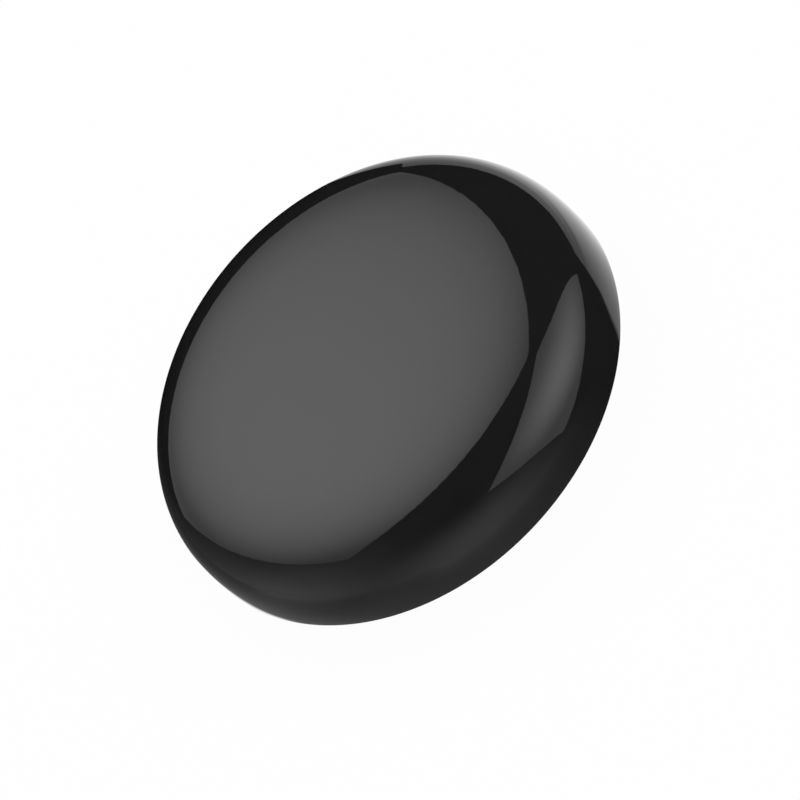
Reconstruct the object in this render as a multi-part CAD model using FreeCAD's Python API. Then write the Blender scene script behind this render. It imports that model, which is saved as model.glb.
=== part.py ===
"""A round table-top infrared remote hub: a gloss black pebble that repeats a hand remote's codes.

Millimetres. +Z is up, the origin is on the table under the centre, and +Y points to the back, where the
power socket, the reset button and the status light sit side by side in the wall of the cover.
"""
import FreeCAD, Part

import math
import os

from FreeCAD import Vector

# Outer form of the cover
OUTER_RADIUS = 34.0
DOME_HEIGHT = 10.9
CROWN_INSET = 0.85
SHOULDER_INSET = 1.04
SHOULDER_DROP = 2.16
SIDE_HANDLE = 1.82
RIM_DROP = 0.7
RIM_ROUND = 0.25
COVER_WALL = 1.8

# Base and seam
BASE_HEIGHT = 4.0
BASE_FLOOR = 1.7
BASE_FLANK_RUN = 5.2
BASE_FLANK_BULGE = 0.35
BASE_WALL_INSET = 1.2
SEAM_GAP = 0.2
SEAM_INSET = 0.8
LIP_CLEARANCE = 0.2
LIP_THICKNESS = 1.0
LIP_HEIGHT = 1.2

# Foot and label under the base
FOOT_PROUD = 0.5
FOOT_WIDTH = 8.0
FOOT_MARGIN = 2.0
FOOT_GROOVE_DEPTH = 0.7
FOOT_CLEARANCE = 0.1
FOOT_ROUND = 0.2
LABEL_MARGIN = 2.5
LABEL_THICKNESS = 0.12
LABEL_RECESS = 0.15
LABEL_CLEARANCE = 0.2

# Screws
SCREW_RADIUS = 0.95
SCREW_THREAD_PITCH = 0.6
SCREW_THREAD_DEPTH = 0.18
SCREW_POINT = 1.0
SCREW_HEAD_RADIUS = 1.8
SCREW_HEAD_HEIGHT = 1.2
SCREW_HEAD_RIM = 0.4
SCREW_HEAD_SHOULDER = 0.7
SCREW_HOLE_CLEARANCE = 0.25
PILOT_CLEARANCE = 0.05
PILOT_SPARE = 0.5
DRIVER_SLOT_WIDTH = 0.45
DRIVER_SLOT_LENGTH = 2.0
DRIVER_SLOT_DEPTH = 0.7

# Screws that close the case: they go in under the foot, up into bosses that hang from the cover's ceiling
CASE_SCREW_ANGLES = (22.5, 157.5, 292.5)
CASE_SCREW_LENGTH = 8.0
BOSS_WALL = 1.4
SEAT_FLOOR = 1.4
SEAT_WALL = 1.1
SEAT_CLEARANCE = 0.3

# Circuit board, and the screws that hold it to posts of the base
BOARD_EDGE_CLEARANCE = 0.8
BOARD_THICKNESS = 1.2
BOARD_OVER_SEAM = 0.6
BOARD_HOLE_CLEARANCE = 0.3
BOARD_SCREW_ANGLES = (90.0, 202.5, 337.5)
BOARD_SCREW_INSETS = (9.2, 6.2, 6.2)
BOARD_SCREW_LENGTH = 4.0
POST_WALL = 1.3

# Power socket, micro USB type B
SOCKET_WIDTH = 7.5
SOCKET_HEIGHT = 2.6
SOCKET_DEPTH = 5.0
SOCKET_RECESS = 1.0
SOCKET_SHEET = 0.25
SOCKET_CHAMFER = 0.75
SOCKET_BLOCK_DEPTH = 1.4
SOCKET_FOOT_REACH = 0.9
SOCKET_FOOT_LENGTH = 1.0
SOCKET_FOOT_FROM_REAR = 0.3
TONGUE_WIDTH = 3.7
TONGUE_THICKNESS = 0.6
TONGUE_LENGTH = 3.0
TONGUE_RISE = 0.45
CONTACT_COUNT = 5
CONTACT_PITCH = 0.65
CONTACT_WIDTH = 0.32
CONTACT_THICKNESS = 0.15
CONTACT_TAIL = 1.0
PORT_CLEARANCE = 0.45
PORT_CORNER = 1.1

# Reset button and its switch
BUTTON_X = -10.0
BUTTON_AXIS_OVER_BOARD = 1.9
BUTTON_RADIUS = 1.6
BUTTON_PROUD = 0.35
BUTTON_CLEARANCE = 0.15
BUTTON_TRAVEL = 0.3
BUTTON_FLANGE = 0.7
BUTTON_FLANGE_THICKNESS = 0.8
BUTTON_WALL_GAP = 0.4
BUTTON_NOTCH_CLEARANCE = 0.5
SWITCH_WIDTH = 6.0
SWITCH_DEPTH = 3.0
SWITCH_HEIGHT = 3.5
SWITCH_PLATE = 0.2
SWITCH_EAR_DEPTH = 1.7
SWITCH_EAR_HEIGHT = 1.8
PLUNGER_RADIUS = 0.8
PLUNGER_CLEARANCE = 0.1
PLUNGER_REACH = 1.1
PLUNGER_FOOT_WIDTH = 2.6
PLUNGER_FOOT_HEIGHT = 1.8
PLUNGER_FOOT_DEPTH = 0.7
CAVITY_CLEARANCE = 0.3
SNAP_DOME_RADIUS = 0.95
SNAP_DOME_RISE = 0.3
SNAP_DOME_SHEET = 0.08
SNAP_DOME_CLEARANCE = 0.05
TERMINAL_WIDTH = 0.8
TERMINAL_REACH = 0.9
TERMINAL_SPACING = 4.5
TERMINAL_THICKNESS = 0.2

# Status light
LIGHT_X = 10.0
LIGHT_AXIS_OVER_BOARD = 1.3
LIGHT_PIPE_RADIUS = 1.0
LIGHT_PIPE_CLEARANCE = 0.05
LIGHT_PIPE_FLANGE = 0.25
LIGHT_PIPE_FLANGE_THICKNESS = 0.7
LIGHT_PIPE_GAP = 0.3
STATUS_LED_SIZE = (3.0, 1.2, 2.4)
STATUS_LED_WINDOW = (1.8, 0.3, 1.2)

# Infrared emitters, lying flat on the board and looking outwards
EMITTER_ANGLES = (0.0, 45.0, 135.0, 180.0, 225.0, 270.0, 315.0)
EMITTER_WALL_GAP = 4.0
EMITTER_RADIUS = 2.5
EMITTER_FLANGE = 0.4
EMITTER_FLANGE_THICKNESS = 1.0
EMITTER_LENGTH = 8.6
EMITTER_BOARD_GAP = 0.05
LEAD_PITCH = 2.54
LEAD_RADIUS = 0.25
LEAD_BEND_RADIUS = 0.8
LEAD_RUN = 1.6
LEAD_BELOW_BOARD = 1.2
LEAD_HOLE_CLEARANCE = 0.15

# Infrared receiver, standing on the board and looking outwards
RECEIVER_ANGLE = 247.5
RECEIVER_WALL_GAP = 7.3
RECEIVER_SIZE = (3.4, 5.4, 5.6)
RECEIVER_LENS_RADIUS = 1.8
RECEIVER_STANDOFF = 0.4
RECEIVER_LEAD_PITCH = 1.5

# Radio module
MODULE_END_GAP = 2.5
MODULE_WIDTH = 16.0
MODULE_LENGTH = 18.0
MODULE_THICKNESS = 0.8
SHIELD_HEIGHT = 2.2
SHIELD_SHEET = 0.2
SHIELD_SIDE_GAP = 1.2
SHIELD_END_GAP = 0.8
SHIELD_ROUND = 0.5
CHIP_SIZE = (5.0, 5.0, 0.85)
CRYSTAL_SIZE = (2.5, 2.0, 0.6)
CRYSTAL_GAP = 1.0
ANTENNA_TRACK = 0.5
ANTENNA_THICKNESS = 0.1
ANTENNA_TURNS = 5
ANTENNA_PITCH = 1.2
ANTENNA_DEPTH = 3.4
ANTENNA_END_GAP = 0.5
PAD_COUNT = 8
PAD_PITCH = 2.0
PAD_FIRST = 1.5
PAD_WIDTH = 0.9
PAD_REACH = 0.6

# Power parts and small parts on the board
REGULATOR_X = 5.6
REGULATOR_SETBACK = 4.6
REGULATOR_SIZE = (6.5, 3.5, 1.6)
REGULATOR_LEAD_WIDTH = 0.7
REGULATOR_LEAD_PITCH = 2.3
REGULATOR_LEAD_REACH = 1.5
REGULATOR_TAB_WIDTH = 3.0
SMALL_LEAD_THICKNESS = 0.25
CAN_X = -5.6
CAN_SETBACK = 5.4
CAN_RADIUS = 3.15
CAN_HEIGHT = 5.6
CAN_ROUND = 0.4
CAN_GROOVE_DEPTH = 0.25
CAN_GROOVE_HEIGHT = 1.0
CAN_BASE_MARGIN = 0.15
CAN_BASE_HEIGHT = 0.9
CAN_BASE_CHAMFER = 1.3
TRANSISTOR_GAP = 4.2
TRANSISTOR_STEPS = (-1.0, 4.0, 9.0)
TRANSISTOR_SIZE = (1.4, 3.0, 1.1)
TRANSISTOR_LEAD_WIDTH = 0.45
TRANSISTOR_LEAD_PITCH = 0.95
TRANSISTOR_LEAD_REACH = 0.6
CERAMIC_SIZE = (2.0, 1.25, 0.9)
CERAMIC_GAP = 2.9
CERAMIC_STEPS = (-3.5, 0.0, 3.5, 10.5)
CERAMIC_ADVANCE = 0.9
RESISTOR_SIZE = (2.0, 1.25, 0.5)
RESISTOR_ADVANCE = 4.0
RESISTOR_OFFSET = 4.2
DIODE_X = 6.3
DIODE_SETBACK = 5.0
DIODE_SIZE = (4.3, 2.6, 2.1)
DIODE_LEAD_WIDTH = 1.5
DIODE_LEAD_REACH = 0.5

# Heights that follow from the sizes above
BASE_BOTTOM = FOOT_PROUD
GROOVE_TOP = BASE_BOTTOM + FOOT_GROOVE_DEPTH
FLOOR_TOP = BASE_BOTTOM + BASE_FLOOR
SEAM_Z = BASE_BOTTOM + BASE_HEIGHT
COVER_EDGE = SEAM_Z + SEAM_GAP
WIDEST_Z = COVER_EDGE + RIM_DROP
TOP_Z = WIDEST_Z + DOME_HEIGHT
CEILING_Z = TOP_Z - COVER_WALL
BOARD_BOTTOM = SEAM_Z + BOARD_OVER_SEAM
BOARD_TOP = BOARD_BOTTOM + BOARD_THICKNESS
SCREW_SEAT_Z = GROOVE_TOP + SEAT_FLOOR
SOCKET_AXIS_Z = BOARD_TOP + SOCKET_HEIGHT / 2
BUTTON_AXIS_Z = BOARD_TOP + BUTTON_AXIS_OVER_BOARD
LIGHT_AXIS_Z = BOARD_TOP + LIGHT_AXIS_OVER_BOARD
EMITTER_AXIS_Z = BOARD_TOP + EMITTER_RADIUS + EMITTER_FLANGE + EMITTER_BOARD_GAP

# Radii and distances from the centre that follow from them
INNER_RADIUS = OUTER_RADIUS - COVER_WALL
LIP_OUTER_RADIUS = INNER_RADIUS - LIP_CLEARANCE
LIP_INNER_RADIUS = LIP_OUTER_RADIUS - LIP_THICKNESS
BASE_TOP_RADIUS = OUTER_RADIUS - SEAM_INSET
BASE_FLAT_RADIUS = BASE_TOP_RADIUS - BASE_FLANK_RUN
GROOVE_OUTER_RADIUS = BASE_FLAT_RADIUS - FOOT_MARGIN
GROOVE_INNER_RADIUS = GROOVE_OUTER_RADIUS - FOOT_WIDTH
LABEL_RADIUS = GROOVE_INNER_RADIUS - LABEL_MARGIN
CASE_SCREW_CIRCLE = (GROOVE_INNER_RADIUS + GROOVE_OUTER_RADIUS) / 2
SCREW_HOLE_RADIUS = SCREW_RADIUS + SCREW_HOLE_CLEARANCE
PILOT_RADIUS = SCREW_RADIUS + PILOT_CLEARANCE
BOSS_RADIUS = PILOT_RADIUS + BOSS_WALL
BOARD_RADIUS = LIP_INNER_RADIUS - BOARD_EDGE_CLEARANCE
SOCKET_MOUTH_Y = OUTER_RADIUS - SOCKET_RECESS
SOCKET_REAR_Y = SOCKET_MOUTH_Y - SOCKET_DEPTH
BUTTON_FLANGE_RADIUS = BUTTON_RADIUS + BUTTON_FLANGE
LIGHT_PIPE_FLANGE_RADIUS = LIGHT_PIPE_RADIUS + LIGHT_PIPE_FLANGE
EMITTER_BACK = INNER_RADIUS - EMITTER_WALL_GAP - EMITTER_LENGTH
LEAD_DROP = EMITTER_BACK - LEAD_RUN
RECEIVER_CIRCLE = INNER_RADIUS - RECEIVER_WALL_GAP - RECEIVER_LENS_RADIUS - RECEIVER_SIZE[0] / 2
MODULE_FRONT_Y = MODULE_END_GAP - LEAD_DROP
MODULE_REAR_Y = MODULE_FRONT_Y + MODULE_LENGTH
MODULE_Y = (MODULE_FRONT_Y + MODULE_REAR_Y) / 2
SHIELD_WIDTH = MODULE_WIDTH - 2 * SHIELD_SIDE_GAP
SHIELD_FRONT_Y = MODULE_FRONT_Y + ANTENNA_END_GAP + ANTENNA_DEPTH + SHIELD_END_GAP
SHIELD_REAR_Y = MODULE_REAR_Y - SHIELD_END_GAP
SHIELD_Y = (SHIELD_FRONT_Y + SHIELD_REAR_Y) / 2
REGULATOR_Y = LEAD_DROP - REGULATOR_SETBACK
CAN_Y = LEAD_DROP - CAN_SETBACK
TRANSISTOR_X = -MODULE_WIDTH / 2 - TRANSISTOR_GAP
DIODE_Y = SOCKET_REAR_Y - DIODE_SETBACK

UP = Vector(0, 0, 1)
RIGHT = Vector(1, 0, 0)
BACK = Vector(0, 1, 0)
ORIGIN = Vector(0, 0, 0)
FAR = 2 * OUTER_RADIUS
TOLERANCE = 1e-6


# Shapes that repeat
def cylinder(radius, length, start, direction=UP):
    return Part.makeCylinder(radius, length, Vector(*start), direction)


def block(size, centre_x, centre_y, bottom):
    """A box of that size, centred in plan, standing on a height."""
    corner = Vector(centre_x - size[0] / 2, centre_y - size[1] / 2, bottom)
    return Part.makeBox(size[0], size[1], size[2], corner)


def ring(inner, outer, bottom, top):
    start = (0, 0, bottom)
    return cylinder(outer, top - bottom, start).cut(cylinder(inner, top - bottom, start))


def line(start, end):
    """A straight edge in the XZ plane, between two (radius, height) points."""
    return Part.LineSegment(Vector(start[0], 0, start[1]), Vector(end[0], 0, end[1])).toShape()


def turned(edges):
    """A solid of revolution about Z, from the closed outline of its half section."""
    return Part.Face(Part.Wire(edges)).revolve(ORIGIN, UP, 360)


def at_angle(shape, degrees):
    """A shape modelled along +X, turned about Z to its place."""
    placed = shape.copy()
    placed.rotate(ORIGIN, UP, degrees)
    return placed


def polar(radius, degrees):
    return radius * math.cos(math.radians(degrees)), radius * math.sin(math.radians(degrees))


def edges_along(shape, direction):
    return [e for e in shape.Edges if e.tangentAt(e.FirstParameter).cross(direction).Length < TOLERANCE]


def circles_at(shape, height):
    """The closed edges of a turned solid that lie at one height."""
    return [e for e in shape.Edges if e.Closed and abs(e.Vertexes[0].Z - height) < TOLERANCE]


def group(solids):
    return Part.makeCompound(solids)


# The cover
def dome_solid(radius, top):
    """The solid dome: one smooth curve from the crown over the shoulder to the widest circle, then down."""
    curve = Part.BezierCurve()
    curve.setPoles([
        Vector(0, 0, top),
        Vector(radius - CROWN_INSET, 0, top),
        Vector(radius - SHOULDER_INSET, 0, top - SHOULDER_DROP),
        Vector(radius, 0, WIDEST_Z + SIDE_HANDLE),
        Vector(radius, 0, WIDEST_Z),
    ])
    return turned([
        curve.toShape(),
        line((radius, WIDEST_Z), (radius, COVER_EDGE)),
        line((radius, COVER_EDGE), (0, COVER_EDGE)),
        line((0, COVER_EDGE), (0, top)),
    ])


def inner_wall_y(x, z):
    """How far back the cover's inner wall stands, at that x and height."""
    probe = Part.LineSegment(Vector(x, 0, z), Vector(x, FAR, z)).toShape()
    crossing = dome_solid(INNER_RADIUS, CEILING_Z).common(probe)
    return max(v.Y for v in crossing.Vertexes)


def port_opening():
    """The rounded slot in the wall that the power plug goes through."""
    width = SOCKET_WIDTH + 2 * PORT_CLEARANCE
    height = SOCKET_HEIGHT + 2 * PORT_CLEARANCE
    bar = Part.makeBox(width, FAR, height, Vector(-width / 2, SOCKET_REAR_Y, SOCKET_AXIS_Z - height / 2))
    return bar.makeFillet(PORT_CORNER, edges_along(bar, BACK))


def top_cover():
    outer = dome_solid(OUTER_RADIUS, TOP_Z)
    outer = outer.makeFillet(RIM_ROUND, circles_at(outer, COVER_EDGE))
    bosses, holes = [], [port_opening()]
    pilot_depth = SCREW_SEAT_Z + CASE_SCREW_LENGTH + PILOT_SPARE - BOARD_BOTTOM
    for angle in CASE_SCREW_ANGLES:
        start = (*polar(CASE_SCREW_CIRCLE, angle), BOARD_BOTTOM)
        bosses.append(cylinder(BOSS_RADIUS, FAR, start).common(outer))
        holes.append(cylinder(PILOT_RADIUS, pilot_depth, start))
    button_start = (BUTTON_X, button_back(), BUTTON_AXIS_Z)
    light_start = (LIGHT_X, light_pipe_back(), LIGHT_AXIS_Z)
    holes.append(cylinder(BUTTON_RADIUS + BUTTON_CLEARANCE, FAR, button_start, BACK))
    holes.append(cylinder(LIGHT_PIPE_RADIUS + LIGHT_PIPE_CLEARANCE, FAR, light_start, BACK))
    return outer.cut(dome_solid(INNER_RADIUS, CEILING_Z)).fuse(bosses).cut(holes).removeSplitter()


# The base, with its foot and label
def base_flank():
    """The outer side of the base, a shallow arc from the flat underside up to the seam."""
    low = Vector(BASE_FLAT_RADIUS, 0, BASE_BOTTOM)
    high = Vector(BASE_TOP_RADIUS, 0, SEAM_Z)
    outwards = (high - low).cross(BACK).normalize()
    return Part.Arc(low, (low + high) / 2 - outwards * BASE_FLANK_BULGE, high).toShape()


def base_dish():
    """The base's turned form: floor, flank, and the lip that stands inside the cover."""
    floor_edge = (BASE_FLAT_RADIUS - BASE_WALL_INSET, FLOOR_TOP)
    outline = [
        (BASE_TOP_RADIUS, SEAM_Z),
        (LIP_OUTER_RADIUS, SEAM_Z),
        (LIP_OUTER_RADIUS, SEAM_Z + LIP_HEIGHT),
        (LIP_INNER_RADIUS, SEAM_Z + LIP_HEIGHT),
        (LIP_INNER_RADIUS, SEAM_Z),
        floor_edge,
        (0, FLOOR_TOP),
        (0, BASE_BOTTOM),
        (BASE_FLAT_RADIUS, BASE_BOTTOM),
    ]
    return turned([base_flank()] + [line(a, b) for a, b in zip(outline, outline[1:])])


def board_screw_places():
    places = zip(BOARD_SCREW_INSETS, BOARD_SCREW_ANGLES)
    return [polar(BOARD_RADIUS - inset, angle) for inset, angle in places]


def base_cover():
    well_radius = SCREW_HEAD_RADIUS + SEAT_CLEARANCE
    towers = []
    holes = [
        ring(GROOVE_INNER_RADIUS, GROOVE_OUTER_RADIUS, BASE_BOTTOM, GROOVE_TOP),
        cylinder(LABEL_RADIUS + LABEL_CLEARANCE, LABEL_RECESS, (0, 0, BASE_BOTTOM)),
    ]
    for angle in CASE_SCREW_ANGLES:
        x, y = polar(CASE_SCREW_CIRCLE, angle)
        towers.append(cylinder(well_radius + SEAT_WALL, BOARD_BOTTOM - GROOVE_TOP, (x, y, GROOVE_TOP)))
        holes.append(cylinder(well_radius, SCREW_SEAT_Z - BASE_BOTTOM, (x, y, BASE_BOTTOM)))
        holes.append(cylinder(SCREW_HOLE_RADIUS, BOARD_BOTTOM - BASE_BOTTOM, (x, y, BASE_BOTTOM)))
    pilot_bottom = BOARD_TOP - BOARD_SCREW_LENGTH - PILOT_SPARE
    for x, y in board_screw_places():
        towers.append(cylinder(PILOT_RADIUS + POST_WALL, BOARD_BOTTOM - GROOVE_TOP, (x, y, GROOVE_TOP)))
        holes.append(cylinder(PILOT_RADIUS, BOARD_BOTTOM - pilot_bottom, (x, y, pilot_bottom)))
    return base_dish().fuse(towers).cut(holes).removeSplitter()


def foot_ring():
    body = ring(GROOVE_INNER_RADIUS + FOOT_CLEARANCE, GROOVE_OUTER_RADIUS - FOOT_CLEARANCE, 0, GROOVE_TOP)
    return body.makeFillet(FOOT_ROUND, circles_at(body, 0))


def blank_label():
    return cylinder(LABEL_RADIUS, LABEL_THICKNESS, (0, 0, BASE_BOTTOM + LABEL_RECESS - LABEL_THICKNESS))


# Both kinds of screw
def screw(length):
    """A cross slot screw, its head's underside at z = 0 and its point up. The thread is turned ridges."""
    root = SCREW_RADIUS - SCREW_THREAD_DEPTH
    flat_radius = SCREW_HEAD_RADIUS - SCREW_HEAD_SHOULDER
    bow = math.sqrt(0.5)
    shoulder = Part.Arc(
        Vector(flat_radius, 0, -SCREW_HEAD_HEIGHT),
        Vector(flat_radius + SCREW_HEAD_SHOULDER * bow, 0,
               -SCREW_HEAD_RIM - (SCREW_HEAD_HEIGHT - SCREW_HEAD_RIM) * bow),
        Vector(SCREW_HEAD_RADIUS, 0, -SCREW_HEAD_RIM),
    ).toShape()
    threaded = length - SCREW_POINT
    turns = int(threaded / SCREW_THREAD_PITCH)
    outline = [(SCREW_HEAD_RADIUS, -SCREW_HEAD_RIM), (SCREW_HEAD_RADIUS, 0), (root, 0)]
    for turn in range(turns, 0, -1):
        start = threaded - turn * SCREW_THREAD_PITCH
        if start > 0:
            outline.append((root, start))
        outline.append((SCREW_RADIUS, start + SCREW_THREAD_PITCH / 2))
    outline += [(root, threaded), (0, length), (0, -SCREW_HEAD_HEIGHT), (flat_radius, -SCREW_HEAD_HEIGHT)]
    body = turned([shoulder] + [line(a, b) for a, b in zip(outline, outline[1:])])
    slot = block((DRIVER_SLOT_LENGTH, DRIVER_SLOT_WIDTH, DRIVER_SLOT_DEPTH), 0, 0, -SCREW_HEAD_HEIGHT)
    return body.cut([slot, at_angle(slot, 90)])


def case_screws():
    made = []
    for angle in CASE_SCREW_ANGLES:
        one = screw(CASE_SCREW_LENGTH)
        one.translate(Vector(*polar(CASE_SCREW_CIRCLE, angle), SCREW_SEAT_Z))
        made.append(one)
    return group(made)


def board_screws():
    made = []
    for x, y in board_screw_places():
        one = screw(BOARD_SCREW_LENGTH)
        one.rotate(ORIGIN, RIGHT, 180)
        one.translate(Vector(x, y, BOARD_TOP))
        made.append(one)
    return group(made)


# The circuit board
def board_hole(radius, x, y):
    return cylinder(radius, BOARD_THICKNESS, (x, y, BOARD_BOTTOM))


def main_board():
    holes = []
    for angle in CASE_SCREW_ANGLES:
        holes.append(board_hole(BOSS_RADIUS + BOARD_HOLE_CLEARANCE, *polar(CASE_SCREW_CIRCLE, angle)))
    for x, y in board_screw_places():
        holes.append(board_hole(SCREW_HOLE_RADIUS, x, y))
    lead_hole = LEAD_RADIUS + LEAD_HOLE_CLEARANCE
    for angle in EMITTER_ANGLES:
        for side in (-1, 1):
            holes.append(at_angle(board_hole(lead_hole, LEAD_DROP, side * LEAD_PITCH / 2), angle))
    for step in (-1, 0, 1):
        one = board_hole(lead_hole, RECEIVER_CIRCLE, step * RECEIVER_LEAD_PITCH)
        holes.append(at_angle(one, RECEIVER_ANGLE))
    notch_half = BUTTON_FLANGE_RADIUS + BUTTON_NOTCH_CLEARANCE
    notch_start = button_back() - BUTTON_TRAVEL - BUTTON_NOTCH_CLEARANCE
    notch_corner = Vector(BUTTON_X - notch_half, notch_start, BOARD_BOTTOM)
    holes.append(Part.makeBox(2 * notch_half, FAR, BOARD_THICKNESS, notch_corner))
    return board_hole(BOARD_RADIUS, 0, 0).cut(holes)


# The power socket
def socket_bar(inset):
    """A solid bar with the socket's D shaped section, inset all round, as long as the socket is deep."""
    half = SOCKET_WIDTH / 2 - inset
    top = SOCKET_AXIS_Z + SOCKET_HEIGHT / 2 - inset
    bottom = SOCKET_AXIS_Z - SOCKET_HEIGHT / 2 + inset
    points = [
        (-half, top),
        (half, top),
        (half, bottom + SOCKET_CHAMFER),
        (half - SOCKET_CHAMFER, bottom),
        (-half + SOCKET_CHAMFER, bottom),
        (-half, bottom + SOCKET_CHAMFER),
    ]
    corners = [Vector(x, SOCKET_REAR_Y, z) for x, z in points]
    return Part.Face(Part.makePolygon(corners + corners[:1])).extrude(BACK * SOCKET_DEPTH)


def usb_shell():
    """The folded steel shell, with a soldered foot each side near its rear."""
    feet = []
    foot_y = SOCKET_REAR_Y + SOCKET_FOOT_FROM_REAR + SOCKET_FOOT_LENGTH / 2
    for side in (-1, 1):
        leg_x = side * (SOCKET_WIDTH - SOCKET_SHEET) / 2
        foot_x = side * (SOCKET_WIDTH + SOCKET_FOOT_REACH) / 2
        feet.append(block((SOCKET_SHEET, SOCKET_FOOT_LENGTH, SOCKET_HEIGHT / 2), leg_x, foot_y, BOARD_TOP))
        feet.append(block((SOCKET_FOOT_REACH, SOCKET_FOOT_LENGTH, SOCKET_SHEET), foot_x, foot_y, BOARD_TOP))
    return socket_bar(0).cut(socket_bar(SOCKET_SHEET)).fuse(feet).removeSplitter()


def contact(index):
    """One strip: along the underside of the tongue, through the block, and down to the board behind it."""
    x = (index - (CONTACT_COUNT - 1) / 2) * CONTACT_PITCH
    top = SOCKET_AXIS_Z + TONGUE_RISE - TONGUE_THICKNESS / 2
    length = CONTACT_THICKNESS + SOCKET_BLOCK_DEPTH + TONGUE_LENGTH
    strip_y = SOCKET_REAR_Y - CONTACT_THICKNESS + length / 2
    strip = block((CONTACT_WIDTH, length, CONTACT_THICKNESS), x, strip_y, top - CONTACT_THICKNESS)
    leg_y = SOCKET_REAR_Y - CONTACT_THICKNESS / 2
    leg = block((CONTACT_WIDTH, CONTACT_THICKNESS, top - BOARD_TOP), x, leg_y, BOARD_TOP)
    tail_y = SOCKET_REAR_Y - CONTACT_TAIL / 2
    tail = block((CONTACT_WIDTH, CONTACT_TAIL, CONTACT_THICKNESS), x, tail_y, BOARD_TOP)
    return strip.fuse([leg, tail]).removeSplitter()


def usb_contacts():
    return group([contact(i) for i in range(CONTACT_COUNT)])


def usb_tongue():
    """The moulded block that fills the shell's rear, and the tongue that stands out of it."""
    rear = Part.makeBox(FAR, SOCKET_BLOCK_DEPTH, FAR, Vector(-FAR / 2, SOCKET_REAR_Y, 0))
    rear = rear.common(socket_bar(SOCKET_SHEET))
    size = (TONGUE_WIDTH, TONGUE_LENGTH, TONGUE_THICKNESS)
    tongue_y = SOCKET_REAR_Y + SOCKET_BLOCK_DEPTH + TONGUE_LENGTH / 2
    tongue = block(size, 0, tongue_y, SOCKET_AXIS_Z + TONGUE_RISE - TONGUE_THICKNESS / 2)
    return rear.fuse(tongue).cut([contact(i) for i in range(CONTACT_COUNT)]).removeSplitter()


# The reset button and the switch behind it
def button_flange_front():
    corner_x = abs(BUTTON_X) + BUTTON_FLANGE_RADIUS
    return inner_wall_y(corner_x, BUTTON_AXIS_Z + BUTTON_FLANGE_RADIUS) - BUTTON_WALL_GAP


def button_back():
    return button_flange_front() - BUTTON_FLANGE_THICKNESS


def reset_button_cap():
    """A round cap whose face follows the cover's curve, with a flange that keeps it inside."""
    start = (BUTTON_X, button_back(), BUTTON_AXIS_Z)
    stem = cylinder(BUTTON_RADIUS, FAR, start, BACK).common(dome_solid(OUTER_RADIUS + BUTTON_PROUD, TOP_Z))
    flange = cylinder(BUTTON_FLANGE_RADIUS, BUTTON_FLANGE_THICKNESS, start, BACK)
    return stem.fuse(flange).removeSplitter()


def switch_front():
    """The face of the switch's plastic body, which its steel plate covers."""
    return button_back() - PLUNGER_REACH - SWITCH_PLATE


def cavity_depth():
    return PLUNGER_FOOT_DEPTH + BUTTON_TRAVEL + SNAP_DOME_CLEARANCE + SNAP_DOME_RISE


def switch_plunger():
    size = (PLUNGER_FOOT_WIDTH, PLUNGER_FOOT_DEPTH, PLUNGER_FOOT_HEIGHT)
    foot_y = switch_front() - PLUNGER_FOOT_DEPTH / 2
    foot = block(size, BUTTON_X, foot_y, BUTTON_AXIS_Z - PLUNGER_FOOT_HEIGHT / 2)
    start = (BUTTON_X, switch_front(), BUTTON_AXIS_Z)
    stem = cylinder(PLUNGER_RADIUS, SWITCH_PLATE + PLUNGER_REACH, start, BACK)
    return foot.fuse(stem).removeSplitter()


def switch_body():
    size = (SWITCH_WIDTH, SWITCH_DEPTH, SWITCH_HEIGHT)
    body = block(size, BUTTON_X, switch_front() - SWITCH_DEPTH / 2, BOARD_TOP)
    width = PLUNGER_FOOT_WIDTH + 2 * CAVITY_CLEARANCE
    height = PLUNGER_FOOT_HEIGHT + 2 * CAVITY_CLEARANCE
    cavity_y = switch_front() - cavity_depth() / 2
    return body.cut(block((width, cavity_depth(), height), BUTTON_X, cavity_y, BUTTON_AXIS_Z - height / 2))


def switch_plate():
    """The steel front plate, with an ear folded back along each side of the body."""
    size = (SWITCH_WIDTH, SWITCH_PLATE, SWITCH_HEIGHT)
    plate = block(size, BUTTON_X, switch_front() + SWITCH_PLATE / 2, BOARD_TOP)
    start = (BUTTON_X, switch_front(), BUTTON_AXIS_Z)
    hole = cylinder(PLUNGER_RADIUS + PLUNGER_CLEARANCE, SWITCH_PLATE, start, BACK)
    ear_size = (SWITCH_PLATE, SWITCH_EAR_DEPTH + SWITCH_PLATE, SWITCH_EAR_HEIGHT)
    ear_y = switch_front() + SWITCH_PLATE - ear_size[1] / 2
    ear_x = (SWITCH_WIDTH + SWITCH_PLATE) / 2
    ears = [block(ear_size, BUTTON_X + side * ear_x, ear_y, BOARD_TOP) for side in (-1, 1)]
    return plate.cut(hole).fuse(ears).removeSplitter()


def snap_dome():
    """The snap disc at the back of the switch's cavity, as low as the pressed plunger leaves it."""
    ball = (SNAP_DOME_RADIUS ** 2 + SNAP_DOME_RISE ** 2) / (2 * SNAP_DOME_RISE)
    seat = Vector(BUTTON_X, switch_front() - cavity_depth(), BUTTON_AXIS_Z)
    centre = seat + BACK * (SNAP_DOME_RISE - ball)
    shell = Part.makeSphere(ball, centre).cut(Part.makeSphere(ball - SNAP_DOME_SHEET, centre))
    return shell.common(cylinder(2 * SNAP_DOME_RADIUS, 2 * SNAP_DOME_RISE, seat, BACK))


def switch_terminals():
    size = (TERMINAL_WIDTH, TERMINAL_REACH, TERMINAL_THICKNESS)
    y = switch_front() - SWITCH_DEPTH - TERMINAL_REACH / 2
    return group([block(size, BUTTON_X + side * TERMINAL_SPACING / 2, y, BOARD_TOP) for side in (-1, 1)])


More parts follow.
